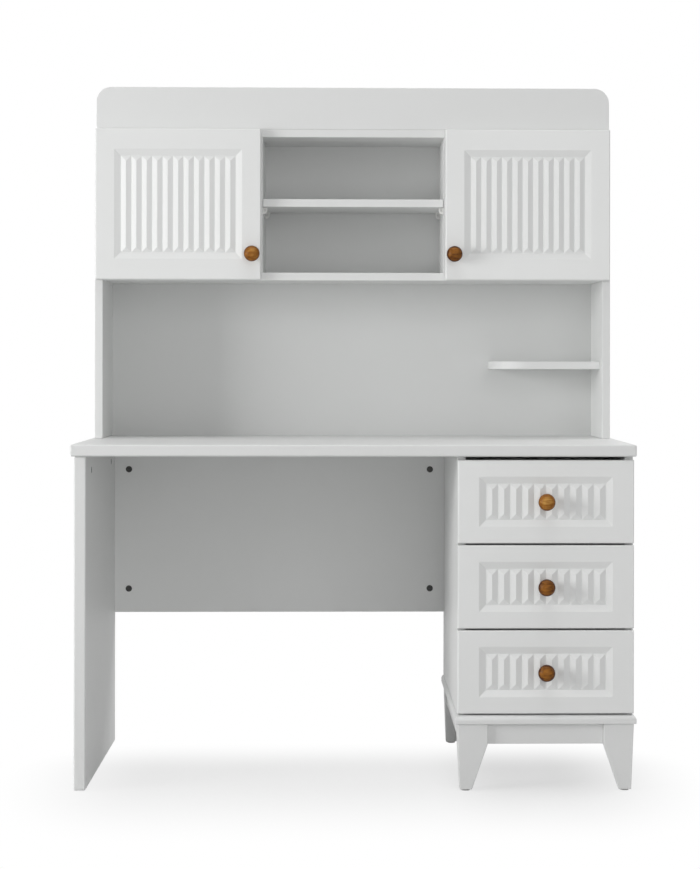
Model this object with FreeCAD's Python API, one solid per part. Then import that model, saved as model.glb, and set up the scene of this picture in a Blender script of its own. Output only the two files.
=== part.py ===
import FreeCAD, Part
import math
import os

from FreeCAD import Vector

os.makedirs("parts", exist_ok=True)

# Desktop and overall sizes
desktop_width = 1200.0
desktop_depth = 600.0
desktop_thickness = 25.0
desk_height = 735.0
desktop_edge_chamfer = 2.0
side_overhang = 7.5
cabinet_overhang = 5.0
rear_overhang = 10.0
total_height = 1540.0

# Boards
leg_thickness = 25.0
leg_setback = 10.0
leg_edge_chamfer = 2.0
panel = 18.0
back_thickness = 8.0
modesty_height = 397.0

# Feet, base board and apron of the drawer cabinet
glide_height = 3.0
glide_radius = 9.0
leg_glide_inset = 60.0
base_underside = 143.0
base_overhang = 5.0
base_nosing_radius = 10.0
foot_width = 64.0
foot_board = 25.0
foot_toe = 26.0
foot_taper = 5.0
apron_height = 44.0
apron_recess = 10.0
side_apron_recess = 5.0

# Drawer cabinet and drawers
cabinet_width = 375.0
rail_width = 80.0
rail_setback = 200.0
drawer_count = 3
front_setback = 5.0
front_gap = 2.0
front_side_reveal = 0.2
drawer_top_gap = 7.5
drawer_front_spacing = 4.0
drawer_front_lift = 3.5
drawer_board = 12.0
drawer_side_drop = 36.5
drawer_side_lift = 20.0
drawer_rear_gap = 59.0
drawer_bottom = 4.0
drawer_bottom_lift = 10.0
groove_depth = 6.0
groove_play = 0.2
bottom_entry = 5.0

# Telescopic rails
slide_width = 12.7
slide_height = 45.0
slide_shortening = 50.0
slide_steel = 1.2
slide_play = 0.6
slide_start = 2.0
outer_lip = 9.0
middle_lip = 8.7

# Hutch
hutch_overhang = 9.0
hutch_depth = 221.0
hutch_rear_setback = 12.0
hutch_back_inset = 5.0
bay_share = 0.511
crown_height = 96.0
crown_radius = 34.0
crown_end_inset = 3.0
centre_width = 416.0
shelf_share = 0.4555
shelf_end_gap = 1.0
shelf_recess = 5.0
shelf_back_gap = 2.0
corner_shelf_width = 247.5
corner_shelf_recess = 38.0
corner_shelf_share = 0.4405
corner_shelf_radius = 80.0

# Shelf supports
support_width = 12.0
support_height = 14.0
support_reach = 9.0
support_inset = 22.0
support_pin_radius = 2.4
support_pin_length = 8.0
support_hole_play = 0.1
support_screw_radius = 2.0
support_screw_depth = 4.0

# Doors
door_gap = 2.0
door_reveal = 2.5
door_centre_reveal = 3.0
door_bottom_reveal = 1.0
door_top_reveal = 1.0
door_knob_side = 20.0
door_knob_height = 59.0

# Carved fronts: margins of the sunk field at its sides and ends, then its shape
front_thickness = 18.0
door_field_margins = (43.0, 47.0)
drawer_field_margins = (45.0, 35.0)
field_border = 15.0
field_slope = 0.35
door_ridges = 11
drawer_ridges = 10
front_edge_chamfer = 2.0

# Turned knobs
knob_radius = 18.0
knob_half_depth = 15.0
knob_neck_radius = 8.0
knob_neck = 4.0
knob_seat_play = 0.1

# Cup hinges, in the plan of one door: x inwards from its outer edge, y rearwards from the hutch's front
hinge_inset = 70.0
cup_edge = 5.0
cup_radius = 17.5
cup_depth = 12.0
cup_wall = 1.0
cup_play = 0.1
cup_flange = 0.8
cup_flange_start = 13.0
cup_flange_end = 33.0
cup_flange_half = 28.0
pin_radius = 1.5
pin_play = 0.05
arm_pin = (31.1, -6.5)
cup_pin = (11.9, -6.1)
link_bow = 3.26
link_thickness = 2.5
link_width = 9.0
link_eye = 2.6
ear_play = 0.4
ear_thickness = 2.1
nose_half = 3.2
arm_reach = 10.0
arm_bar = 5.0
arm_body = 6.0
arm_length = 56.0
plate_thickness = 3.0
plate_start = 20.0
plate_end = 52.0
plate_half = 25.0

# Cam locks
cam_radius = 7.5
cam_depth = 12.0
cam_play = 0.1
cam_recess = 0.5
cam_edge = 34.0
cam_slot_length = 9.0
cam_slot_width = 1.6
cam_slot_depth = 2.5
modesty_cam_inset = 56.0
leg_cam_front = 105.0
leg_cam_rear = 90.0

# Planes that several pieces share
knob_reach = knob_neck + knob_half_depth * (1 + math.sqrt(1 - (knob_neck_radius / knob_radius) ** 2))
desk_front = knob_reach - front_setback - (desktop_depth - front_setback + knob_reach) / 2
desk_rear = desk_front + desktop_depth
base_rear = desk_rear - rear_overhang
half_base = desktop_width / 2 - side_overhang
underside = desk_height - desktop_thickness
leg_inner = -half_base + leg_thickness
cabinet_right = desktop_width / 2 - cabinet_overhang
cabinet_left = cabinet_right - cabinet_width
cabinet_in_left = cabinet_left + panel
cabinet_in_right = cabinet_right - panel
base_top = base_underside + panel
fronts_face = desk_front + front_setback
fronts_rear = fronts_face + front_thickness
cabinet_front = fronts_rear + front_gap
cabinet_back_front = base_rear - back_thickness
fronts_zone = underside - drawer_top_gap - base_top - drawer_front_lift
drawer_front_height = (fronts_zone - (drawer_count - 1) * drawer_front_spacing) / drawer_count
drawer_side_height = drawer_front_height - drawer_side_lift - drawer_side_drop
drawer_length = cabinet_back_front - drawer_rear_gap - fronts_rear
slide_length = drawer_length - slide_shortening
hutch_rear = desk_rear - hutch_rear_setback
hutch_front = hutch_rear - hutch_depth
hutch_back_rear = hutch_rear - hutch_back_inset
hutch_back_front = hutch_back_rear - back_thickness
hutch_half = desktop_width / 2 - hutch_overhang
hutch_in = hutch_half - panel
hutch_top_high = total_height - crown_height
hutch_top_low = hutch_top_high - panel
bay_height = (hutch_top_high - desk_height) * bay_share
hutch_bottom_low = desk_height + bay_height
hutch_bottom_high = hutch_bottom_low + panel
divider_in = centre_width / 2
divider_out = divider_in + panel
shelf_high = hutch_top_low - (hutch_top_low - hutch_bottom_high) * shelf_share
shelf_low = shelf_high - panel


def box(x, y, z):
    """Board between the given low and high values along each axis."""
    return Part.makeBox(x[1] - x[0], y[1] - y[0], z[1] - z[0], Vector(x[0], y[0], z[0]))


def soft_box(x, y, z, size):
    """Board with a small chamfer along every edge."""
    board = box(x, y, z)
    return board.makeChamfer(size, board.Edges)


def cylinder(radius, length, start, direction):
    return Part.makeCylinder(radius, length, start, direction)


def polygon(points):
    return Part.Face(Part.makePolygon(points + [points[0]]))


def prism(points, direction):
    return polygon(points).extrude(direction)


def fuse(solids):
    first = solids[0]
    for solid in solids[1:]:
        first = first.fuse(solid)
    return first.removeSplitter()


def mirror_x(shape, plane_x=0.0):
    return shape.mirror(Vector(plane_x, 0, 0), Vector(1, 0, 0))


def mirror_y(shape, plane_y):
    return shape.mirror(Vector(0, plane_y, 0), Vector(0, 1, 0))


def save(name, *solids):
    shape = solids[0] if len(solids) == 1 else Part.makeCompound(list(solids))
    shape.exportStep("parts/" + name + ".step")


def carved_front(x, z, face_y, margins, ridges):
    """Panel with a sunk field of upright ridges, their ends hipped, all at one slope."""
    depth = field_border * field_slope

    def loop(inset_x, inset_z, y):
        low_x, high_x = x[0] + inset_x, x[1] - inset_x
        low_z, high_z = z[0] + inset_z, z[1] - inset_z
        corners = [(low_x, low_z), (high_x, low_z), (high_x, high_z), (low_x, high_z)]
        return [Vector(px, face_y + y, pz) for px, pz in corners]

    side_margin, end_margin = margins
    loops = [
        loop(0, 0, front_thickness),
        loop(0, 0, front_edge_chamfer),
        loop(front_edge_chamfer, front_edge_chamfer, 0),
        loop(side_margin, end_margin, 0),
    ]
    floor = loop(side_margin + field_border, end_margin + field_border, depth)
    pitch = (floor[1].x - floor[0].x) / ridges
    half = pitch / 2
    low = [Vector(floor[0].x + pitch * i, floor[0].y, floor[0].z) for i in range(ridges + 1)]
    high = [Vector(p.x, p.y, floor[2].z) for p in low]
    faces = [polygon(loops[0])]
    for outer, inner in zip(loops, loops[1:]):
        for i in range(4):
            j = (i + 1) % 4
            faces.append(polygon([outer[i], outer[j], inner[j], inner[i]]))
    rim = loops[-1]
    faces.append(polygon([rim[0], rim[1]] + low[::-1]))
    faces.append(polygon([rim[2], rim[3]] + high))
    faces.append(polygon([rim[1], rim[2], floor[2], floor[1]]))
    faces.append(polygon([rim[3], rim[0], floor[0], floor[3]]))
    crest_y = floor[0].y - half * field_slope
    for i in range(ridges):
        tip_low = Vector(low[i].x + half, crest_y, low[i].z + half)
        tip_high = Vector(low[i].x + half, crest_y, high[i].z - half)
        faces.append(polygon([low[i], tip_low, tip_high, high[i]]))
        faces.append(polygon([low[i + 1], high[i + 1], tip_high, tip_low]))
        faces.append(polygon([low[i], low[i + 1], tip_low]))
        faces.append(polygon([high[i + 1], high[i], tip_high]))
    shell = Part.Shell(faces)
    shell.sewShape()
    solid = Part.Solid(shell)
    if solid.Volume < 0:
        solid.reverse()
    return solid.removeSplitter()


def knob(x, face_y, z, seat=0.0):
    """Turned ball on a short neck, standing out from a front, its neck let in by the seat's depth."""
    cos_neck = knob_neck_radius / knob_radius
    ball_end = math.acos(cos_neck)
    ball_rear = knob_half_depth * math.sin(ball_end)
    centre = Vector(0, -knob_neck - ball_rear, 0)
    ellipse = Part.Ellipse(centre, knob_radius, knob_half_depth)
    arc = Part.ArcOfEllipse(ellipse, -math.pi / 2, ball_end).toShape()
    tip = Vector(0, centre.y - knob_half_depth, 0)
    neck_front = Vector(knob_neck_radius, -knob_neck, 0)
    neck_rear = Vector(knob_neck_radius, seat, 0)
    axis = Vector(0, seat, 0)
    lines = [Part.makeLine(neck_front, neck_rear), Part.makeLine(neck_rear, axis), Part.makeLine(axis, tip)]
    profile = Part.Face(Part.Wire(Part.__sortEdges__([arc] + lines)))
    turned = profile.revolve(Vector(0, 0, 0), Vector(0, 1, 0), 360)
    turned.translate(Vector(x, face_y, z))
    return turned


# Desktop
save(
    "desktop",
    soft_box(
        (-desktop_width / 2, desktop_width / 2),
        (desk_front, desk_rear),
        (underside, desk_height),
        desktop_edge_chamfer,
    ),
)


def cam_lock(start, inwards, slot_along):
    """Round cam with a driver slot in its face; returns the cam and the pocket it turns in."""
    pocket = cylinder(cam_radius + cam_play, cam_depth + cam_recess, start, inwards)
    face = start + inwards * cam_recess
    cam = cylinder(cam_radius, cam_depth, face, inwards)
    across = inwards.cross(slot_along)
    corner = face - slot_along * (cam_slot_length / 2) - across * (cam_slot_width / 2)
    sides = [slot_along * cam_slot_length, across * cam_slot_width]
    outline = [corner, corner + sides[0], corner + sides[0] + sides[1], corner + sides[1]]
    return cam.cut(prism(outline, inwards * cam_slot_depth)), pocket


# Leg panel at the left end, with two cam locks on its inner face
leg_front = desk_front + leg_setback
leg = soft_box((-half_base, leg_inner), (leg_front, base_rear), (glide_height, underside), leg_edge_chamfer)
cams = []
for cam_y in (leg_front + leg_cam_front, base_rear - leg_cam_rear):
    cam_face = Vector(leg_inner, cam_y, underside - cam_edge)
    cam, pocket = cam_lock(cam_face, Vector(-1, 0, 0), Vector(0, 1, 0))
    cams.append(cam)
    leg = leg.cut(pocket)
save("leg_panel", leg)

# Modesty panel across the back of the knee space, with a cam lock near each corner
modesty_front = base_rear - panel
modesty_low = underside - modesty_height
modesty = box((leg_inner, cabinet_left), (modesty_front, base_rear), (modesty_low, underside))
for cam_x in (leg_inner + cam_edge, cabinet_left - cam_edge):
    for cam_z in (modesty_low + modesty_cam_inset, underside - modesty_cam_inset):
        cam, pocket = cam_lock(Vector(cam_x, modesty_front, cam_z), Vector(0, 1, 0), Vector(1, 0, 0))
        cams.append(cam)
        modesty = modesty.cut(pocket)
save("modesty_panel", modesty)
save("cam_locks", *cams)

# Drawer cabinet carcass
side_y = (cabinet_front, base_rear)
side_z = (base_top, underside)
save("cabinet_left_side", box((cabinet_left, cabinet_in_left), side_y, side_z))
save("cabinet_right_side", box((cabinet_in_right, cabinet_right), side_y, side_z))
inside_x = (cabinet_in_left, cabinet_in_right)
save("cabinet_back", box(inside_x, (cabinet_back_front, base_rear), side_z))
rail_z = (underside - panel, underside)
rail_front = cabinet_front + rail_setback
save("cabinet_front_rail", box(inside_x, (rail_front, rail_front + rail_width), rail_z))
save("cabinet_rear_rail", box(inside_x, (cabinet_back_front - rail_width, cabinet_back_front), rail_z))

# Base board under the cabinet, its upper edge rounded at the front and sides
base_x = (cabinet_left - base_overhang, cabinet_right + base_overhang)
base_front = fronts_face - base_overhang
base_board = box(base_x, (base_front, base_rear), (base_underside, base_top))
nosing = [
    edge
    for edge in base_board.Edges
    if edge.BoundBox.ZMin > base_top - 1 and edge.BoundBox.YMin < base_rear - 1
]
save("base_board", base_board.makeFillet(base_nosing_radius, nosing))

# Bracket feet: two tapering boards meeting at each corner, with a floor glide under the toe
knee = base_underside - apron_height
foot_outline = [
    (0.0, base_underside),
    (foot_taper, glide_height),
    (foot_taper + foot_toe, glide_height),
    (foot_width, knee),
    (foot_width, base_underside),
]
front_board = prism([Vector(u, 0, v) for u, v in foot_outline], Vector(0, foot_width, 0))
side_board = prism([Vector(0, u, v) for u, v in foot_outline], Vector(foot_width, 0, 0))
hollow = box((foot_board, foot_width), (foot_board, foot_width), (0, base_underside))
foot = front_board.common(side_board).cut(hollow)
toe_centre = foot_taper + foot_toe / 2
glide = cylinder(glide_radius, glide_height, Vector(toe_centre, toe_centre, 0), Vector(0, 0, 1))
corner = Vector(cabinet_left, fronts_face, 0)
foot.translate(corner)
glide.translate(corner)
middle_x = (cabinet_left + cabinet_right) / 2
middle_y = (fronts_face + base_rear) / 2
save("front_left_foot", foot)
save("front_right_foot", mirror_x(foot, middle_x))
save("rear_left_foot", mirror_y(foot, middle_y))
save("rear_right_foot", mirror_y(mirror_x(foot, middle_x), middle_y))
right_glide = mirror_x(glide, middle_x)
glides = [glide, right_glide, mirror_y(glide, middle_y), mirror_y(right_glide, middle_y)]
leg_middle = (-half_base + leg_inner) / 2
for glide_y in (leg_front + leg_glide_inset, base_rear - leg_glide_inset):
    glides.append(cylinder(glide_radius, glide_height, Vector(leg_middle, glide_y, 0), Vector(0, 0, 1)))
save("floor_glides", *glides)

# Aprons between the feet, at the front and both sides
apron_z = (knee, base_underside)
apron_front = fronts_face + apron_recess
apron_x = (cabinet_left + foot_width, cabinet_right - foot_width)
save("front_apron", box(apron_x, (apron_front, apron_front + panel), apron_z))
apron_y = (fronts_face + foot_width, base_rear - foot_width)
apron_left = cabinet_left + side_apron_recess
left_apron = box((apron_left, apron_left + panel), apron_y, apron_z)
save("side_aprons", left_apron, mirror_x(left_apron, middle_x))


def slide_member(wall_x, sign, reach, middle_z, half_height, lip, start_y):
    """Steel channel of a telescopic rail: a web at one reach from the cabinet wall and two lips."""
    web = sorted((wall_x + sign * reach, wall_x + sign * (reach + slide_steel)))
    flange = sorted((wall_x + sign * reach, wall_x + sign * (reach + lip)))
    length = (start_y, start_y + slide_length)
    parts = [box(web, length, (middle_z - half_height, middle_z + half_height))]
    for edge in (middle_z - half_height, middle_z + half_height - slide_steel):
        parts.append(box(flange, length, (edge, edge + slide_steel)))
    return fuse(parts)


# Drawers on telescopic rails, numbered from the top
slide_y = cabinet_front + slide_start
outer_half = slide_height / 2
middle_half = outer_half - slide_steel - slide_play
inner_half = middle_half - slide_steel - slide_play
middle_reach = slide_steel + slide_play
inner_web_reach = slide_width - slide_steel
inner_lip = slide_width - middle_reach - slide_steel - slide_play
box_left = cabinet_in_left + slide_width
box_right = cabinet_in_right - slide_width
front_x = (cabinet_left + front_side_reveal, cabinet_right - front_side_reveal)
drawer_y = (fronts_rear, fronts_rear + drawer_length)
outer_members = []
for number in range(1, drawer_count + 1):
    name = "drawer_%d_" % number
    from_bottom = drawer_count - number
    front_low = base_top + drawer_front_lift + from_bottom * (drawer_front_height + drawer_front_spacing)
    front_high = front_low + drawer_front_height
    knob_z = (front_low + front_high) / 2
    knob_face = Vector(middle_x, fronts_face, knob_z)
    seat_depth = field_border * field_slope
    seat = cylinder(knob_neck_radius + knob_seat_play, seat_depth, knob_face, Vector(0, 1, 0))
    front = carved_front(front_x, (front_low, front_high), fronts_face, drawer_field_margins, drawer_ridges)
    save(name + "front", front.cut(seat))
    save(name + "knob", knob(middle_x, fronts_face, knob_z, seat_depth))
    side_z = (front_low + drawer_side_lift, front_low + drawer_side_lift + drawer_side_height)
    bottom_z = (side_z[0] + drawer_bottom_lift, side_z[0] + drawer_bottom_lift + drawer_bottom)
    groove = box(
        (box_left + drawer_board - groove_depth, box_right - drawer_board + groove_depth),
        drawer_y,
        (bottom_z[0], bottom_z[1] + groove_play),
    )
    left_side = box((box_left, box_left + drawer_board), drawer_y, side_z).cut(groove)
    save(name + "sides", left_side, mirror_x(left_side, middle_x))
    inside = (box_left + drawer_board, box_right - drawer_board)
    save(name + "back", box(inside, (drawer_y[1] - drawer_board, drawer_y[1]), (bottom_z[1], side_z[1])))
    save(name + "bottom", box((inside[0] - bottom_entry, inside[1] + bottom_entry), drawer_y, bottom_z))
    slide_z = (side_z[0] + side_z[1]) / 2
    outer = slide_member(cabinet_in_left, 1, 0.0, slide_z, outer_half, outer_lip, slide_y)
    middle = slide_member(cabinet_in_left, 1, middle_reach, slide_z, middle_half, middle_lip, slide_y)
    inner = slide_member(box_left, -1, 0.0, slide_z, inner_half, inner_lip, slide_y)
    outer_members += [outer, mirror_x(outer, middle_x)]
    save(name + "middle_rails", middle, mirror_x(middle, middle_x))
    save(name + "rails", inner, mirror_x(inner, middle_x))
save("cabinet_rails", *outer_members)

# Hutch carcass standing on the desktop
hutch_y = (hutch_front, hutch_rear)
inner_y = (hutch_front, hutch_back_front)
left_side = box((-hutch_half, -hutch_in), hutch_y, (desk_height, hutch_top_high))
save("hutch_left_side", left_side)
save("hutch_right_side", mirror_x(left_side))
hutch_x = (-hutch_in, hutch_in)
save("hutch_top", box(hutch_x, hutch_y, (hutch_top_low, hutch_top_high)))
save("hutch_bottom", box(hutch_x, inner_y, (hutch_bottom_low, hutch_bottom_high)))
save("hutch_back", box(hutch_x, (hutch_back_front, hutch_back_rear), (desk_height, hutch_top_low)))

# Crown board on top of the hutch, its two upper corners rounded
crown_half = hutch_half - crown_end_inset
crown = box((-crown_half, crown_half), (hutch_front, hutch_front + panel), (hutch_top_high, total_height))
crown_corners = [
    edge
    for edge in crown.Edges
    if edge.BoundBox.ZMin > total_height - 1 and edge.BoundBox.XLength < 1
]
save("crown_board", crown.makeFillet(crown_radius, crown_corners))

# Dividers each side of the centre opening, and its loose shelf on four supports
divider = box((-divider_out, -divider_in), inner_y, (hutch_bottom_high, hutch_top_low))
supports = []
shelf_y = (hutch_front + shelf_recess, hutch_back_front - shelf_back_gap)
for support_y in (shelf_y[0] + support_inset, shelf_y[1] - support_inset):
    support_z = shelf_low - support_height / 2
    body = box(
        (-divider_in, -divider_in + support_reach),
        (support_y - support_width / 2, support_y + support_width / 2),
        (shelf_low - support_height, shelf_low),
    )
    start = Vector(-divider_in, support_y, support_z)
    pin = cylinder(support_pin_radius, support_pin_length, start, Vector(-1, 0, 0))
    hole_radius = support_pin_radius + support_hole_play
    divider = divider.cut(cylinder(hole_radius, support_pin_length, start, Vector(-1, 0, 0)))
    screw_start = Vector(-divider_in + support_reach, support_y, support_z)
    screw_hole = cylinder(support_screw_radius, support_screw_depth, screw_start, Vector(-1, 0, 0))
    supports.append(fuse([body, pin]).cut(screw_hole))
save("left_divider", divider)
save("right_divider", mirror_x(divider))
save("shelf_supports", *(supports + [mirror_x(support) for support in supports]))
shelf_half = divider_in - shelf_end_gap
save("centre_shelf", box((-shelf_half, shelf_half), shelf_y, (shelf_low, shelf_high)))

# Corner shelf in the right end of the open bay, its free front corner rounded
corner_low = desk_height + bay_height * corner_shelf_share
corner_shelf = box(
    (hutch_in - corner_shelf_width, hutch_in),
    (hutch_front + corner_shelf_recess, hutch_back_front),
    (corner_low, corner_low + panel),
)
free_corner = [
    edge
    for edge in corner_shelf.Edges
    if edge.BoundBox.ZLength > 1
    and edge.BoundBox.XMax < hutch_in - 1
    and edge.BoundBox.YMax < hutch_back_front - 1
]
save("corner_shelf", corner_shelf.makeFillet(corner_shelf_radius, free_corner))

# Doors over the two cupboards
door_x = (-hutch_half + door_reveal, -divider_in - door_centre_reveal)
door_z = (hutch_bottom_low + door_bottom_reveal, hutch_top_high - door_top_reveal)
door_rear = hutch_front - door_gap
door_face = door_rear - front_thickness
door = carved_front(door_x, door_z, door_face, door_field_margins, door_ridges)
hinge_levels = (door_z[0] + hinge_inset, door_z[1] - hinge_inset)


def at(plan, z):
    """Point of the hinge plan, at a height."""
    return Vector(door_x[0] + plan[0], hutch_front + plan[1], z)


def plan_box(x, y, z):
    return box((door_x[0] + x[0], door_x[0] + x[1]), (hutch_front + y[0], hutch_front + y[1]), z)


def upright(radius, plan, low, high):
    return cylinder(radius, high - low, at(plan, low), Vector(0, 0, 1))


def hinge_cup(z):
    """Pressed cup with a flange on the door's rear face and the pin the link turns on."""
    mouth = Vector(door_x[0] + cup_edge + cup_radius, door_rear, z)
    forward = Vector(0, -1, 0)
    outer_radius = cup_radius - cup_play
    shell = cylinder(outer_radius, cup_depth, mouth, forward)
    flange_z = (z - cup_flange_half, z + cup_flange_half)
    flange = plan_box((cup_flange_start, cup_flange_end), (-door_gap, -door_gap + cup_flange), flange_z)
    hollow_start = mouth - forward * cup_flange
    hollow = cylinder(outer_radius - cup_wall, cup_flange + cup_depth - cup_wall, hollow_start, forward)
    offset = cup_edge + cup_radius - cup_pin[0]
    half_chord = math.sqrt((outer_radius - cup_wall / 2) ** 2 - (offset + pin_radius) ** 2)
    pin = upright(pin_radius, cup_pin, z - half_chord, z + half_chord)
    return fuse([shell.fuse(flange).cut(hollow), pin])


def hinge_link(z):
    """Bowed steel link with an eye at each end."""
    start, end = Vector(*arm_pin, 0), Vector(*cup_pin, 0)
    along = end - start
    bow = Vector(-along.y, along.x, 0).normalize() * link_bow
    path = [start, start + along / 3 + bow, start + along * 2 / 3 + bow, end]
    sides = []
    for i, point in enumerate(path):
        before = path[max(i - 1, 0)]
        after = path[min(i + 1, len(path) - 1)]
        tangent = (after - before).normalize()
        normal = Vector(-tangent.y, tangent.x, 0) * (link_thickness / 2)
        sides.append((point + normal, point - normal))
    outline = [side[0] for side in sides] + [side[1] for side in sides[::-1]]
    low, high = z - link_width / 2, z + link_width / 2
    solids = [prism([at((p.x, p.y), low) for p in outline], Vector(0, 0, link_width))]
    solids += [upright(link_eye, pin, low, high) for pin in (arm_pin, cup_pin)]
    link = fuse(solids)
    for pin in (arm_pin, cup_pin):
        link = link.cut(upright(pin_radius + pin_play, pin, low, high))
    return link


def hinge_arm(z):
    """Mounting plate, arm and forked nose that holds the link's other pin."""
    wall = panel - door_reveal
    half = link_width / 2 + ear_play + ear_thickness
    width = (z - half, z + half)
    inner = wall + plate_thickness
    plate = plan_box((wall, inner), (plate_start, plate_end), (z - plate_half, z + plate_half))
    body = plan_box((inner, inner + arm_body), (arm_reach, arm_length), width)
    bar = plan_box((inner, arm_pin[0] + nose_half), (arm_reach, arm_reach + arm_bar), width)
    nose_x = (arm_pin[0] - nose_half, arm_pin[0] + nose_half)
    nose = plan_box(nose_x, (arm_pin[1], arm_reach + arm_bar), width)
    eye = upright(nose_half, arm_pin, *width)
    fork_half = link_width / 2 + ear_play
    fork_x = (arm_pin[0] - 2 * nose_half, arm_pin[0] + 2 * nose_half)
    fork_y = (arm_pin[1] - 2 * nose_half, arm_reach - arm_bar)
    fork = plan_box(fork_x, fork_y, (z - fork_half, z + fork_half))
    pin = upright(pin_radius, arm_pin, *width)
    return fuse([fuse([plate, body, bar, nose, eye]).cut(fork), pin])


cups = [hinge_cup(z) for z in hinge_levels]
links = [hinge_link(z) for z in hinge_levels]
arms = [hinge_arm(z) for z in hinge_levels]
for z in hinge_levels:
    mouth = Vector(door_x[0] + cup_edge + cup_radius, door_rear, z)
    door = door.cut(cylinder(cup_radius, cup_depth, mouth, Vector(0, -1, 0)))
door_knob = knob(door_x[1] - door_knob_side, door_face, door_z[0] + door_knob_height)
save("left_door", door)
save("right_door", mirror_x(door))
save("left_door_knob", door_knob)
save("right_door_knob", mirror_x(door_knob))
save("left_hinge_cups", *cups)
save("right_hinge_cups", *[mirror_x(cup) for cup in cups])
save("left_hinge_links", *links)
save("right_hinge_links", *[mirror_x(link) for link in links])
save("hinge_arms", *(arms + [mirror_x(arm) for arm in arms]))
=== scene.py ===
import math

import bpy
import numpy as np
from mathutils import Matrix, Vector


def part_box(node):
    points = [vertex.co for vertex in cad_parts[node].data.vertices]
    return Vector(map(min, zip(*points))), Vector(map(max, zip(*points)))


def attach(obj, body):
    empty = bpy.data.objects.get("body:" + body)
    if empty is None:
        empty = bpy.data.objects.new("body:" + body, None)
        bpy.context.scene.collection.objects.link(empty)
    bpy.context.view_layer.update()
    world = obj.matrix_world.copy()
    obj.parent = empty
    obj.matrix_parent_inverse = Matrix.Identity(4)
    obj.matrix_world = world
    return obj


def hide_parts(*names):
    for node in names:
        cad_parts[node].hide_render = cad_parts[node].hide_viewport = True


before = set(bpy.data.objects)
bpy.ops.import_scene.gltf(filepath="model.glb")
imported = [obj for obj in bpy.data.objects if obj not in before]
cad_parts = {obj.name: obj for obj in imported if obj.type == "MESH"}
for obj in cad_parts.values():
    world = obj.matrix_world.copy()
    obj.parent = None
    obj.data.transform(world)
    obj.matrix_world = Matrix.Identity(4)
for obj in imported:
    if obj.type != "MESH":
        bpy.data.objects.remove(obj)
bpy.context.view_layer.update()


# White boards of the desk, the drawer cabinet and the hutch: faced chipboard, 18 and 25 mm thick.
# The facing is a pressed satin film with a fine pore, and every edge has a thin band with its corner eased.
class Wire:
    """One socket in a material. Sums and products of wires add Math nodes; `make` adds any other node."""

    def __init__(self, tree, socket=None):
        self.tree = tree
        self.socket = socket

    def make(self, kind, settings, inputs, output=0):
        """Adds a node, gives it its settings, then the values or links of its sockets."""
        node = self.tree.nodes.new("ShaderNode" + kind)
        for name, value in settings.items():
            if name == "stops":
                ramp = node.color_ramp.elements
                while len(ramp) < len(value):
                    ramp.new(0.5)
                for element, (place, colour) in zip(ramp, value):
                    element.position = place
                    element.color = (*colour, 1.0)
            else:
                setattr(node, name, value)
        for name, value in inputs.items():
            if isinstance(value, Wire):
                self.tree.links.new(value.socket, node.inputs[name])
            else:
                node.inputs[name].default_value = value
        return Wire(self.tree, node.outputs[output])

    def math(self, operation, first, second):
        """Adds a Math node on two wires or numbers."""
        return self.make("Math", {"operation": operation}, {0: first, 1: second})

    def __add__(self, other):
        return self.math("ADD", self, other)

    __radd__ = __add__

    def __mul__(self, other):
        return self.math("MULTIPLY", self, other)

    __rmul__ = __mul__

    def __sub__(self, other):
        return self.math("SUBTRACT", self, other)

    def __rsub__(self, other):
        return self.math("SUBTRACT", other, self)

    def colours(self, low, high):
        """Colour that goes from low to high as this wire goes from 0 to 1."""
        mix = {"data_type": "RGBA", "clamp_factor": True}
        return self.make("Mix", mix, {0: self, 6: (*low, 1.0), 7: (*high, 1.0)}, 2)


def new_finish(name):
    """New material; returns it, a wire with its Object coordinates, and its surface shader."""
    material = bpy.data.materials.new(name)
    material.use_nodes = True
    tree = material.node_tree
    place = Wire(tree).make("TexCoord", {}, {}, 3)
    return material, place, tree.nodes["Principled BSDF"]


def connect(place, shader, **wires):
    """Links wires to the shader's sockets; underscores in a name stand for spaces."""
    for name, wire in wires.items():
        place.tree.links.new(wire.socket, shader.inputs[name.replace("_", " ")])


def cloud(place, scale, detail=3.0, roughness=0.55):
    """Noise from 0 to 1 over the piece, with `scale` blotches to the metre."""
    noise = {"Vector": place, "Scale": scale, "Detail": detail, "Roughness": roughness}
    return place.make("TexNoise", {}, noise)


def streaks(place, along, detail, roughness=0.55):
    """Noise drawn out along an axis, with its own number of blotches to the metre on each axis."""
    stretched = place.make("Mapping", {"vector_type": "POINT"}, {"Vector": place, "Scale": along})
    return cloud(stretched, 1.0, detail, roughness)


def bumped(place, height, strength, distance):
    """Surface normal that leans with the slope of a height, at most `distance` metres tall."""
    return place.make("Bump", {}, {"Height": height, "Strength": strength, "Distance": distance})


def board_finish(name, low, high, gloss, pore_depth):
    """Satin film: slow tone drift between two whites, handling marks in the gloss, a fine pressed pore."""
    material, place, shader = new_finish(name)
    drift = cloud(place, scale=2.4, detail=4.0)
    marks = cloud(place, scale=17.0, detail=5.0, roughness=0.65)
    pore = cloud(place, scale=900.0, detail=2.0)
    scuffs = streaks(place, along=(3.0, 90.0, 90.0), detail=3.0)
    connect(
        place,
        shader,
        Base_Color=drift.colours(low, high),
        Roughness=gloss + 0.16 * marks + 0.05 * scuffs,
        Normal=bumped(place, pore, pore_depth, distance=0.0004),
    )
    return material


def dress(names, material):
    """Puts one finish on CAD nodes, in place of the materials they came with."""
    for name in names:
        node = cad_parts[name]
        node.data.materials.clear()
        node.data.materials.append(material)


join_gap = 0.00002
flat_angle, sharp_angle = math.radians(0.4), math.radians(38)


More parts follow.
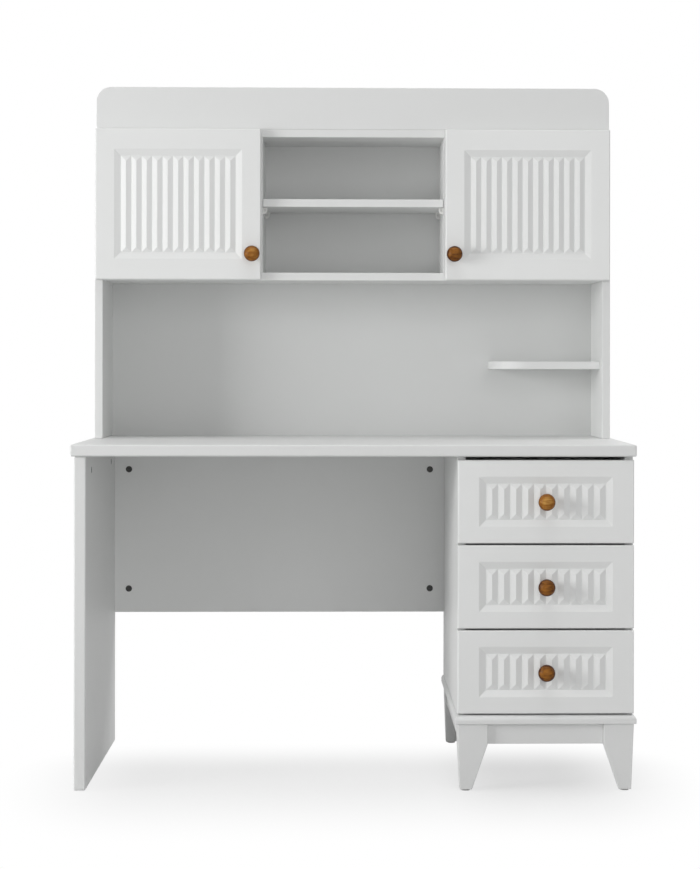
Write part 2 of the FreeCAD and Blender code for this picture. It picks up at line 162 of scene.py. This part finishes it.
def ease(names, radius):
    """Joins the triangles of CAD nodes into flat faces and rounds the sharp edges by a small radius."""
    for name in names:
        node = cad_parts[name]
        weld = node.modifiers.new("join", "WELD")
        weld.merge_threshold = join_gap
        flat = node.modifiers.new("flat", "DECIMATE")
        flat.decimate_type = "DISSOLVE"
        flat.angle_limit = flat_angle
        round_edges = node.modifiers.new("ease", "BEVEL")
        round_edges.width = radius
        round_edges.segments = 3
        round_edges.limit_method = "ANGLE"
        round_edges.angle_limit = sharp_angle
        round_edges.harden_normals = False


board_low, board_high = (0.757, 0.766, 0.757), (0.791, 0.795, 0.791)
white_board = board_finish("white_board", board_low, board_high, gloss=0.45, pore_depth=0.10)
desk_boards = ["desktop", "leg_panel"]
cabinet_boards = ["cabinet_left_side", "cabinet_right_side", "cabinet_front_rail", "cabinet_rear_rail"]
base_pieces = ["front_apron", "side_aprons", "base_board"]
feet = [end + "_" + side + "_foot" for end in ("front", "rear") for side in ("left", "right")]
hutch_boards = ["hutch_left_side", "hutch_right_side", "hutch_top", "hutch_bottom", "crown_board"]
hutch_shelves = ["left_divider", "right_divider", "centre_shelf", "corner_shelf"]
boards = desk_boards + cabinet_boards + base_pieces + feet + hutch_boards + hutch_shelves
board_easing, modesty_easing = 0.0013, 0.0022
dress(boards + ["modesty_panel"], white_board)
ease(boards, board_easing)
ease(["modesty_panel"], modesty_easing)

# Back panels of the hutch and of the drawer cabinet: thin hardboard with a white painted face, coloured
# greyer than the boards as painted shade for the backs of the recesses.
# They are set in from behind and pinned to the boards they meet, with small round heads left showing.
# Painted shade: these whites are set darker than the boards' to stand in for the shade at the back of the
# hutch's bays and cubbies.
shaded_back_low, shaded_back_high = (0.67, 0.68, 0.673), (0.705, 0.71, 0.705)
white_back = board_finish("white_back", shaded_back_low, shaded_back_high, gloss=0.48, pore_depth=0.16)
dress(["hutch_back", "cabinet_back"], white_back)

# Cam locks: dark die-cast discs with a driver slot, let into the leg panel and the modesty panel.
# They pull the boards together and stay uncapped on the inner faces.
cam_metal, place, shader = new_finish("cam_metal")
shader.inputs["Metallic"].default_value = 0.7
cast = cloud(place, scale=700.0)
connect(
    place,
    shader,
    Base_Color=cloud(place, scale=120.0).colours((0.035, 0.035, 0.035), (0.08, 0.078, 0.075)),
    Roughness=0.42 + 0.2 * cast,
    Normal=bumped(place, cast, strength=0.2, distance=0.0003),
)
dress(["cam_locks"], cam_metal)

# Floor glides: round pale grey plastic buttons nailed under the feet and the leg panel.
# They are moulded, with a fine spark texture, and scuffed where they meet the floor.
glide_plastic, place, shader = new_finish("glide_plastic")
spark = cloud(place, scale=1600.0, detail=2.0)
connect(
    place,
    shader,
    Base_Color=cloud(place, scale=60.0).colours((0.40, 0.40, 0.39), (0.50, 0.50, 0.49)),
    Roughness=0.5 + 0.15 * spark,
    Normal=bumped(place, spark, strength=0.15, distance=0.0002),
)
dress(["floor_glides"], glide_plastic)

# Telescopic rails: rolled steel channels with bright zinc, screwed to the cabinet and to the drawer sides.
# The rolling leaves fine lines along their length and the zinc a faint cloudy bloom.
zinc_steel, place, shader = new_finish("zinc_steel")
shader.inputs["Metallic"].default_value = 1.0
bloom = cloud(place, scale=45.0, detail=4.0)
rolled = streaks(place, along=(2200.0, 6.0, 2200.0), detail=2.0)
connect(
    place,
    shader,
    Base_Color=bloom.colours((0.50, 0.51, 0.53), (0.68, 0.69, 0.70)),
    Roughness=0.26 + 0.18 * rolled,
    Normal=bumped(place, rolled, strength=0.12, distance=0.0002),
)
drawers = ["drawer_1", "drawer_2", "drawer_3"]
rails = [drawer + part for drawer in drawers for part in ("_rails", "_middle_rails")]
dress(["cabinet_rails"] + rails, zinc_steel)

# Pins of the back panels: small zinc-plated nails with low round heads, driven in from behind.
# They hold the hardboard to the edges of the hutch's bottom, of its dividers and of the drawer cabinet.
rearwards, forwards = (0.0, 1.0, 0.0), (0.0, -1.0, 0.0)
crease_angle = math.radians(50)


def turned(radius, height, centres, facing, around=48):
    """Forms of revolution: rings of a radius and height about the facing axis, repeated at every centre."""
    axis = np.asarray(facing, float)
    first = np.cross(axis, (0.0, 0.0, 1.0))
    second = np.cross(axis, first)
    angle = np.linspace(0, 2 * np.pi, around, endpoint=False)
    ring = np.cos(angle)[:, None] * first + np.sin(angle)[:, None] * second
    rise = np.broadcast_to(height, (len(radius), around))
    form = radius[:, None, None] * ring + rise[..., None] * axis
    return np.asarray(centres, float)[:, None, None] + form


def skin(name, grids, body, material):
    """Mesh over grids that close round their last direction, with both ends capped; rides on a CAD body."""
    count, rows, around = grids.shape[:3]
    index = np.arange(count * rows * around).reshape(count, rows, around)
    beside = np.roll(index, -1, 2)
    quads = np.stack([index[:, :-1], beside[:, :-1], beside[:, 1:], index[:, 1:]], -1).reshape(-1, 4)
    faces = quads.tolist() + index[:, 0, ::-1].tolist() + index[:, -1].tolist()
    mesh = bpy.data.meshes.new(name)
    mesh.from_pydata(grids.reshape(-1, 3).tolist(), [], faces)
    mesh.shade_smooth()
    mesh.set_sharp_from_angle(angle=crease_angle)
    mesh.materials.append(material)
    piece = bpy.data.objects.new(name, mesh)
    bpy.context.scene.collection.objects.link(piece)
    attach(piece, body)
    return piece


def rows_of(along_x, along_z, y):
    """Points at every pair of the given widths and heights, on one plane."""
    x, z = np.meshgrid(along_x, along_z)
    return np.stack([x.ravel(), np.full(x.size, y), z.ravel()], -1)


def middle_of(node):
    """Centre of a CAD node's box."""
    low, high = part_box(node)
    return (low + high) / 2


head_sink = 0.0003
pin_radius, pin_rise, pin_sweep = 0.0026, 0.0009, 1.5
pin_dome = np.linspace(0, pin_sweep, 6)
pin_rings = np.concatenate([[pin_radius], pin_radius * np.cos(pin_dome)])
pin_heights = np.concatenate([[-head_sink], pin_rise * np.sin(pin_dome)])[:, None]
hutch_back_low, hutch_back_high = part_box("hutch_back")
cabinet_back_low, cabinet_back_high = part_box("cabinet_back")
shelf_pins, divider_pins, cabinet_pins = 10, 3, 4
shelf_pin_inset, cabinet_pin_inset, cabinet_pin_edge = 0.04, 0.012, 0.01
shelf_line = middle_of("hutch_bottom").z
shelf_ends = hutch_back_low.x + shelf_pin_inset, hutch_back_high.x - shelf_pin_inset
divider_lines = [middle_of(board).x for board in ("left_divider", "right_divider")]
divider_heights = np.linspace(shelf_line, hutch_back_high.z, divider_pins + 2)[1:-1]
cabinet_ends = cabinet_back_low.x + cabinet_pin_inset, cabinet_back_high.x - cabinet_pin_inset
cabinet_edges = [cabinet_back_low.z + cabinet_pin_edge, cabinet_back_high.z - cabinet_pin_edge]
pin_rows = [
    rows_of(np.linspace(*shelf_ends, shelf_pins), [shelf_line], hutch_back_high.y),
    rows_of(divider_lines, divider_heights, hutch_back_high.y),
    rows_of(np.linspace(*cabinet_ends, cabinet_pins), cabinet_edges, cabinet_back_high.y),
]
back_pins = turned(pin_rings, pin_heights, np.concatenate(pin_rows), rearwards, around=20)
skin("back_panel_pins", back_pins, "carcass", zinc_steel)

# Drawer boxes: thin boards wrapped in a matt white foil, with a hardboard bottom in a groove.
# Sides and back are fixed with dowels and screws from behind the carved front.
foil_low, foil_high = (0.74, 0.75, 0.735), (0.79, 0.80, 0.785)
drawer_foil = board_finish("drawer_foil", foil_low, foil_high, gloss=0.5, pore_depth=0.2)
drawer_boxes = [drawer + part for drawer in drawers for part in ("_sides", "_back", "_bottom")]
dress(drawer_boxes, drawer_foil)

# Carved fronts of the drawers and the doors: fibreboard cut with a wide V tool, then sprayed satin white.
# Upright ridges with hipped ends fill a sunk field, and the lacquer softens every ridge and edge.
white_front, place, shader = new_finish("white_front")
peel = cloud(place, scale=260.0, detail=2.0)
touch = cloud(place, scale=14.0, detail=5.0, roughness=0.6)
connect(
    place,
    shader,
    Base_Color=cloud(place, scale=3.0, detail=4.0).colours((0.80, 0.81, 0.80), (0.84, 0.845, 0.84)),
    Roughness=0.24 + 0.14 * touch,
    Normal=bumped(place, peel, strength=0.05, distance=0.0005),
)
front_easing = 0.0015
fronts = ["left_door", "right_door"] + [drawer + "_front" for drawer in drawers]
dress(fronts, white_front)
ease(fronts, front_easing)

# Knobs: balls turned from brown hardwood on a short neck, varnished satin, with painted shade darkening the
# colour towards each ball's rim.
# The grain runs sideways through each ball, and no two balls come from wood of quite the same tone.
# A cross-slotted screw holds each one from behind its door or drawer front.
knob_wood, place, shader = new_finish("knob_wood")
shader.inputs["Specular IOR Level"].default_value = 0.09
shader.inputs["Coat Weight"].default_value = 0.06
shader.inputs["Coat Roughness"].default_value = 0.25
# The knob's tone attribute carries each knob's own wood tone plus the painted rim shade.
wood_tone = place.make("Attribute", {"attribute_name": "wood_tone"}, {}, 2)
warp = cloud(place, scale=40.0, detail=2.0)
streak = streaks(place, along=(30.0, 180.0, 180.0), detail=5.0, roughness=0.6)
fleck = streaks(place, along=(260.0, 2600.0, 2600.0), detail=2.0)
grain_and_rim_shade = streak * 0.75 + warp * 0.3 + fleck * 0.1 - 0.075 + wood_tone
dark_brown, mid_brown, light_brown = (0.07, 0.020, 0.005), (0.33, 0.128, 0.020), (0.60, 0.34, 0.090)
wood_colours = {"stops": [(0.22, dark_brown), (0.50, mid_brown), (0.78, light_brown)]}
connect(
    place,
    shader,
    Base_Color=grain_and_rim_shade.make("ValToRGB", wood_colours, {"Fac": grain_and_rim_shade}),
    Roughness=0.34 + 0.16 * streak,
    Normal=bumped(place, streak, strength=0.12, distance=0.0003),
)
knob_radius, ball_half_depth = 0.018, 0.015
neck_radius, neck_length, neck_flare = 0.008, 0.004, 0.0012
tip_angle = 0.02


def knob_profile(seat):
    """Neck with a small flared foot, then most of an ellipse: radii and heights from seat to tip."""
    neck_angle = math.acos(neck_radius / knob_radius)
    sweep = np.linspace(-neck_angle, np.pi / 2 - tip_angle, 40)
    ball_middle = neck_length + ball_half_depth * math.sin(neck_angle)
    rise = np.linspace(0, 1, 7)[:-1]
    flare = neck_flare if seat > -neck_flare else 0.0
    neck = neck_radius + flare * (1 - rise) ** 2
    neck_heights = seat + (neck_length - seat) * rise
    radii = np.concatenate([neck, knob_radius * np.cos(sweep)])
    heights = np.concatenate([neck_heights, ball_middle + ball_half_depth * np.sin(sweep)])
    return radii, heights[:, None]


slot_half_width, slot_side, slot_reach, slot_end = 0.2, 0.08, 0.66, 0.12
dome_tip, dome_fall, slot_depth = 0.04, 0.7, 0.7


def screw_head(radius, rise, around=48):
    """Pan head: a low dome on rings, pushed in where two crossed bars of the driver slot lie."""
    share = np.linspace(1.0, dome_tip, 16)
    angle = np.linspace(0, 2 * np.pi, around, endpoint=False)
    across, along = np.abs(share[:, None] * np.cos(angle)), np.abs(share[:, None] * np.sin(angle))
    bar = np.clip((slot_half_width - np.minimum(across, along)) / slot_side, 0, 1)
    bar_end = np.clip((slot_reach - np.maximum(across, along)) / slot_end, 0, 1)
    dome = rise * np.sqrt(1 - dome_fall * share[:, None] ** 2) - slot_depth * rise * bar * bar_end
    rings = radius * np.concatenate([[1.0], share])
    return rings, np.concatenate([np.full((1, around), -head_sink), dome])


screw_rings, screw_heights = screw_head(radius=0.0045, rise=0.0018)
# Painted shade: each ball's colour darkens steeply towards its rim, standing in for the light falling off
# round the ball.
rim_painted_shade, rim_painted_shade_power = 0.28, 6
door_tones = {"left_door": 0.02, "right_door": -0.12}
drawer_tones = {"drawer_1": 0.06, "drawer_2": -0.08, "drawer_3": -0.09}
for name, tone in (door_tones | drawer_tones).items():
    node = name + "_knob"
    front_low, front_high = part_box(name + "_front" if name in drawers else name)
    centre = middle_of(node)
    radii, heights = knob_profile(front_low.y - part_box(node)[1].y)
    knob = turned(radii, heights, [(centre.x, front_low.y, centre.z)], forwards, around=64)
    ball = skin(name + "_turned_knob", knob, name, knob_wood)
    ring_tone_and_rim_shade = tone - rim_painted_shade * (radii / knob_radius) ** rim_painted_shade_power
    tones = ball.data.attributes.new("wood_tone", "FLOAT", "POINT")
    tones.data.foreach_set("value", np.repeat(ring_tone_and_rim_shade, knob.shape[2]))
    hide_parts(node)
    screw = turned(screw_rings, screw_heights, [(centre.x, front_high.y, centre.z)], rearwards)
    skin(name + "_knob_screw", screw, name, zinc_steel)

# Shelf supports: small white plastic brackets on pegs, plugged into the dividers under the loose shelf.
# They are moulded with a rounded lower corner, and an open screw hole shows at the front of each.
support_plastic, place, shader = new_finish("support_plastic")
grainy = cloud(place, scale=1300.0, detail=2.0)
connect(
    place,
    shader,
    Base_Color=cloud(place, scale=50.0).colours((0.80, 0.80, 0.78), (0.86, 0.86, 0.84)),
    Roughness=0.3 + 0.14 * grainy,
    Normal=bumped(place, grainy, strength=0.1, distance=0.0002),
)
support_reach, support_drop, support_width = 0.0105, 0.0155, 0.012
support_fatness, support_easing, eased_share = 0.7, 0.0008, 0.93
hole_place, hole_radius, hole_depth = (0.0050, -0.0068), 0.0026, 0.006


def support_outline(points):
    """Bracket from the front: flat along the divider and the shelf, joined by a quarter of a fat ellipse."""
    sweep = np.linspace(0, np.pi / 2, points // 2)
    out, down = np.cos(sweep) ** support_fatness, np.sin(sweep) ** support_fatness
    curve = np.stack([support_reach * out, -support_drop * down], -1)
    share = np.linspace(0, 1, points // 4 + 1)[1:, None]
    corner = np.zeros(2)
    side = curve[-1] + (corner - curve[-1]) * share
    top = corner + (curve[0] - corner) * share
    return np.concatenate([curve, side, top[:-1]])


def shelf_support(side, front_y, shelf_z, divider_x):
    """Outline carried from rear to front with eased ends, drawn in to a round hole that goes back in."""
    outline = support_outline(48)
    middle = outline.mean(0)
    swing = np.unwrap(np.arctan2(*(outline - hole_place).T[::-1]))
    hole = np.asarray(hole_place) + hole_radius * np.stack([np.cos(swing), np.sin(swing)], -1)
    eased = middle + (outline - middle) * eased_share
    rows = np.stack([eased, outline, outline, eased, hole, hole])
    rear_ease = support_width - support_easing
    back_steps = np.array([support_width, rear_ease, support_easing, 0.0, 0.0, hole_depth])
    depth = np.repeat(back_steps[:, None], len(outline), 1)
    form = np.stack([divider_x + side * rows[..., 0], front_y + depth, shelf_z + rows[..., 1]], -1)
    return form[:, ::-1] if side > 0 else form


support_low, support_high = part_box("shelf_supports")
shelf_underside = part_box("centre_shelf")[0].z
inner_faces = {1.0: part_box("left_divider")[1].x, -1.0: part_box("right_divider")[0].x}
front_edges = (support_low.y, support_high.y - support_width)
supports = [
    shelf_support(side, front_y, shelf_underside, face_x)
    for side, face_x in inner_faces.items()
    for front_y in front_edges
]
brackets = skin("shelf_brackets", np.stack(supports), "carcass", support_plastic)
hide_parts("shelf_supports")

# Cup hinges: pressed steel cups, links and arms with nickel plating, hidden behind the doors.
# The cup is let into the door and the arm's plate is screwed to the hutch's side.
hinge_steel, place, shader = new_finish("hinge_steel")
shader.inputs["Metallic"].default_value = 1.0
plated = cloud(place, scale=160.0, detail=4.0)
connect(
    place,
    shader,
    Base_Color=plated.colours((0.56, 0.55, 0.53), (0.70, 0.69, 0.66)),
    Roughness=0.2 + 0.14 * plated,
    Normal=bumped(place, plated, strength=0.06, distance=0.0003),
)
inward_signs = {"left": 1.0, "right": -1.0}
hinge_pieces = [side + part for side in inward_signs for part in ("_hinge_cups", "_hinge_links")]
dress(["hinge_arms"] + hinge_pieces, hinge_steel)
hinge_inset = 0.070
plate_thickness, plate_screw_y, plate_screw_rise = 0.003, 0.036, 0.0165
arm_body, arm_screws_y = 0.006, (0.027, 0.046)
cup_middle, flange_thickness, flange_screw_rise = 0.0225, 0.0008, 0.0228
plate_rings, plate_heights = screw_head(radius=0.0040, rise=0.0016)
cup_rings, cup_heights = screw_head(radius=0.0034, rise=0.0011)
hutch_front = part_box("hutch_bottom")[0].y
for side, inwards in inward_signs.items():
    door_low, door_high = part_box(side + "_door")
    levels = (door_low.z + hinge_inset, door_high.z - hinge_inset)
    plate_levels = [z + up for z in levels for up in (-plate_screw_rise, plate_screw_rise)]
    flange_levels = [z + up for z in levels for up in (-flange_screw_rise, flange_screw_rise)]
    side_low, side_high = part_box("hutch_%s_side" % side)
    wall = side_high.x if inwards > 0 else side_low.x
    edge = door_low.x if inwards > 0 else door_high.x
    plate_x = wall + inwards * plate_thickness
    arm_x = wall + inwards * (plate_thickness + arm_body)
    flange_x, flange_y = edge + inwards * cup_middle, door_high.y + flange_thickness
    wall_points = [(plate_x, hutch_front + plate_screw_y, z) for z in plate_levels]
    wall_points += [(arm_x, hutch_front + y, z) for z in levels for y in arm_screws_y]
    flange_points = [(flange_x, flange_y, z) for z in flange_levels]
    plate_screws = turned(plate_rings, plate_heights, wall_points, (inwards, 0.0, 0.0))
    skin(side + "_hinge_plate_screws", plate_screws, "carcass", hinge_steel)
    cup_screws = turned(cup_rings, cup_heights, flange_points, rearwards)
    skin(side + "_cup_screws", cup_screws, side + "_door", hinge_steel)

# Studio: a pale floor that keeps the desk's shadow, a white surround for the camera, soft light.
# The key lamp stands at the left; weak ones in front, above, at the right and behind lift the shaded faces.
floor_half = 9.0
floor_mesh = bpy.data.meshes.new("studio_floor")
corners = [(-floor_half, -floor_half, 0), (floor_half, -floor_half, 0), (floor_half, floor_half, 0)]
floor_mesh.from_pydata(corners + [(-floor_half, floor_half, 0)], [], [(0, 1, 2, 3)])
floor = bpy.data.objects.new("studio_floor", floor_mesh)
bpy.context.scene.collection.objects.link(floor)
paper, place, shader = new_finish("studio_paper")
shader.inputs["Roughness"].default_value = 0.9
shader.inputs["Specular IOR Level"].default_value = 0.0
connect(place, shader, Base_Color=cloud(place, scale=6.0).colours((0.55, 0.55, 0.55), (0.57, 0.57, 0.57)))
glow = place.make("Emission", {}, {"Color": (1.0, 1.0, 1.0, 1.0), "Strength": 1.0})


def seen_rays(wire):
    """1 for rays that show the surround: straight from the camera, off a shiny face or through glass."""
    camera_ray = wire.make("LightPath", {}, {}, 0)
    glossy_ray = wire.make("LightPath", {}, {}, 3)
    glass_ray = wire.make("LightPath", {}, {}, 6)
    return wire.math("MAXIMUM", wire.math("MAXIMUM", camera_ray, glossy_ray), glass_ray)


# Painted shadow: near the desk the floor shows part of its own lit shading instead of glowing white. The
# outline and strength of this patch are set here, stronger under the cabinet than under the knee space,
# while the shading inside it comes from the lamps.
shadow_half_width, shadow_front, shadow_rear = 0.43, -0.16, -0.06
front_share, fade_length = 0.58, 0.36
knee_white, cabinet_white = 0.75, 0.62
knee_end, cabinet_start = 0.16, 0.34
across = place.make("SeparateXYZ", {}, {0: place}, 0)
along = place.make("SeparateXYZ", {}, {0: place}, 1)
beside = place.math("MAXIMUM", place.math("ABSOLUTE", across, 0.0) - shadow_half_width, 0.0)
before = (shadow_front - along) * front_share
beyond = place.math("MAXIMUM", place.math("MAXIMUM", before, along - shadow_rear), 0.0)
reach = place.math("POWER", beside * beside + beyond * beyond, 0.5)


def smoothly(wire, start, end, low, high):
    """Goes from low to high along an S-shaped curve as a wire goes from start to end."""
    limits = {"Value": wire, "From Min": start, "From Max": end, "To Min": low, "To Max": high}
    return wire.make("MapRange", {"interpolation_type": "SMOOTHSTEP"}, limits)


shadow_white = smoothly(across, knee_end, cabinet_start, knee_white, cabinet_white)
whiteness = smoothly(reach, 0.0, fade_length, shadow_white, 1.0)
both = {0: seen_rays(place) * whiteness, 1: Wire(place.tree, shader.outputs[0]), 2: glow}
lit = place.make("MixShader", {}, both)
place.tree.links.new(lit.socket, place.tree.nodes["Material Output"].inputs["Surface"])
floor_mesh.materials.append(paper)

world = bpy.data.worlds.new("studio")
world.use_nodes = True
bpy.context.scene.world = world
air = Wire(world.node_tree)
fill_level = 0.33
background = world.node_tree.nodes["Background"]
background.inputs["Color"].default_value = (1.0, 1.0, 1.0, 1.0)
strength = seen_rays(air) * (1.0 - fill_level) + fill_level
world.node_tree.links.new(strength.socket, background.inputs["Strength"])
lamp_aim = Vector((0.0, 0.0, 0.8))


def soft_lamp(name, left, up, distance, size, watts):
    """Square soft box at angles to the left of and above the desk's front, facing the middle of the desk."""
    turn, rise = math.radians(left), math.radians(up)
    level = Vector((-math.sin(turn), -math.cos(turn), 0.0)) * math.cos(rise)
    direction = level + Vector((0.0, 0.0, math.sin(rise)))
    data = bpy.data.lights.new(name, "AREA")
    data.size = size
    data.energy = watts
    lamp = bpy.data.objects.new(name, data)
    lamp.location = lamp_aim + direction * distance
    lamp.rotation_euler = (-direction).to_track_quat("-Z", "Y").to_euler()
    bpy.context.scene.collection.objects.link(lamp)


soft_lamp("key_lamp", left=66.0, up=8.0, distance=4.5, size=1.6, watts=99.0)
soft_lamp("low_lamp", left=0.0, up=-4.0, distance=5.0, size=0.9, watts=12.0)
soft_lamp("fill_lamp", left=-18.0, up=14.0, distance=4.5, size=2.2, watts=25.0)
soft_lamp("top_lamp", left=0.0, up=78.0, distance=4.5, size=2.2, watts=50.0)
soft_lamp("right_lamp", left=-115.0, up=35.0, distance=5.0, size=2.5, watts=60.0)
soft_lamp("rear_lamp", left=180.0, up=45.0, distance=5.0, size=2.5, watts=50.0)

# Camera: level and almost straight on, a little left of the middle, with its frame slid sideways and down.
# Its place, turn and focal length come from matching edges of the desk in the picture.
image_width, image_height = 700.0, 869.0
axis_x, axis_y = 379.76, 364.30
focal_pixels = 2049.2
camera_distance = 4.3351
camera_left = 0.0351
camera_height = 0.9055
camera_turn = math.radians(-1.175)
camera_roll = math.radians(-0.079)
camera_data = bpy.data.cameras.new("camera")
camera_data.sensor_fit = "VERTICAL"
camera_data.sensor_height = 36.0
camera_data.lens = focal_pixels * camera_data.sensor_height / image_height
camera_data.shift_x = (image_width / 2 - axis_x) / image_height
camera_data.shift_y = (axis_y - image_height / 2) / image_height
camera = bpy.data.objects.new("camera", camera_data)
desk_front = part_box("desktop")[0].y
camera.location = (-camera_left, desk_front - camera_distance, camera_height)
camera.rotation_euler = (math.radians(90), camera_roll, camera_turn)
bpy.context.scene.collection.objects.link(camera)
bpy.context.scene.camera = camera

bpy.context.scene.view_settings.view_transform = "Standard"
